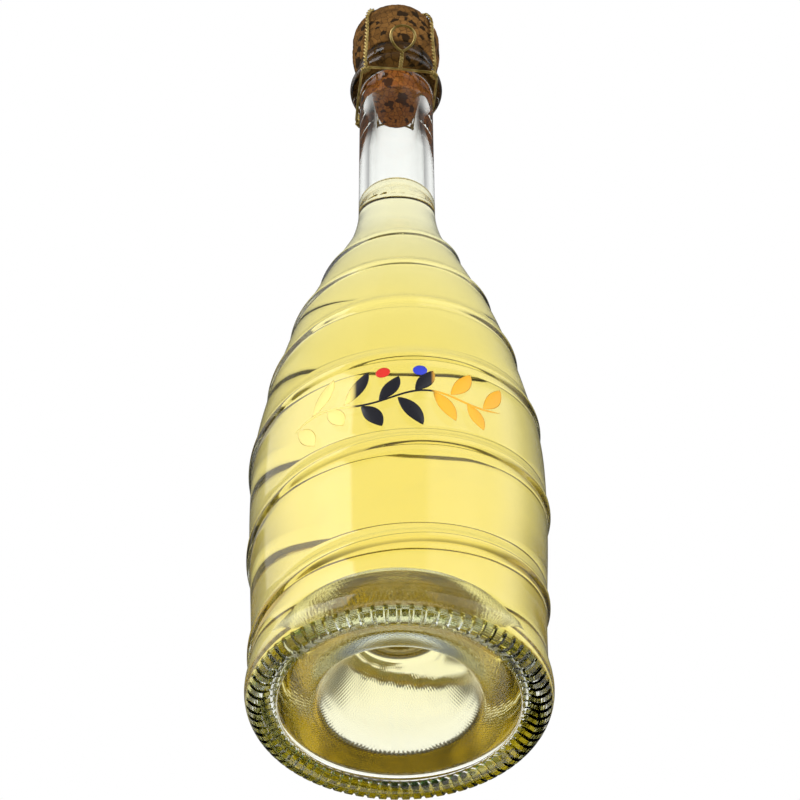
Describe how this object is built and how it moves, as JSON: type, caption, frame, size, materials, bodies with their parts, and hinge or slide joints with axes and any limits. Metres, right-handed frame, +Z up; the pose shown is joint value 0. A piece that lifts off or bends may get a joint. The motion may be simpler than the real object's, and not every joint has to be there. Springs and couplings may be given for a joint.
{
  "type": "sparkling wine bottle",
  "caption": "Clear glass sparkling wine bottle with a raised ridge wound round it, a deep punt, wine inside, a mushroom cork and a wire hood that lifts off.",
  "frame": {"origin": "centre of the foot ring, on the surface that the bottle stands on", "axes": "+Z up along the bottle's axis, -Y towards the front, where the twist loop of the wire hood is"},
  "size_m": [0.0932, 0.0929, 0.327],
  "materials": {
    "glass": "clear flint glass with a faint green tint, polished",
    "wine": "clear pale gold liquid",
    "cork": "agglomerated cork with dark flecks",
    "cork_disc": "natural cork, stained by the wine",
    "cap_metal": "dark lacquered tinplate",
    "hood_wire": "gold lacquered wire, bright"
  },
  "bodies": {
    "bottle": {"glass_bottle": "glass", "wine": "wine"},
    "cork": {"cork_body": "cork", "cork_disc_upper": "cork_disc", "cork_disc_lower": "cork_disc"},
    "hood": {"plaque": "cap_metal", "crown_ring": "hood_wire", "leg_front_left": "hood_wire", "leg_front_right": "hood_wire", "leg_back_right": "hood_wire", "leg_back_left": "hood_wire", "leg_feet": "hood_wire", "belt": "hood_wire"},
    "stem": {"loop_stem": "hood_wire"},
    "loop": {"twist_loop": "hood_wire"}
  },
  "joints": [
    {"name": "cork_pull", "type": "slide", "parent": "bottle", "child": "cork", "axis": [0, 0, 1], "range_m": [0, 0.05]},
    {"name": "hood_lift", "type": "slide", "parent": "cork", "child": "hood", "axis": [0, 0, 1], "range_m": [0, 0.045], "deforming": ["belt", "leg_feet"]},
    {"name": "loop_fold", "type": "hinge", "parent": "hood", "child": "stem", "pos_m": [0.00208, -0.01828, 0.285], "axis": [0.9936, 0.1132, 0], "range_deg": [0, 130]},
    {"name": "loop_twist", "type": "hinge", "parent": "stem", "child": "loop", "pos_m": [0.00208, -0.01828, 0.285], "axis": [0.0566, -0.4968, 0.866], "range_deg": [0, 1080]}
  ]
}
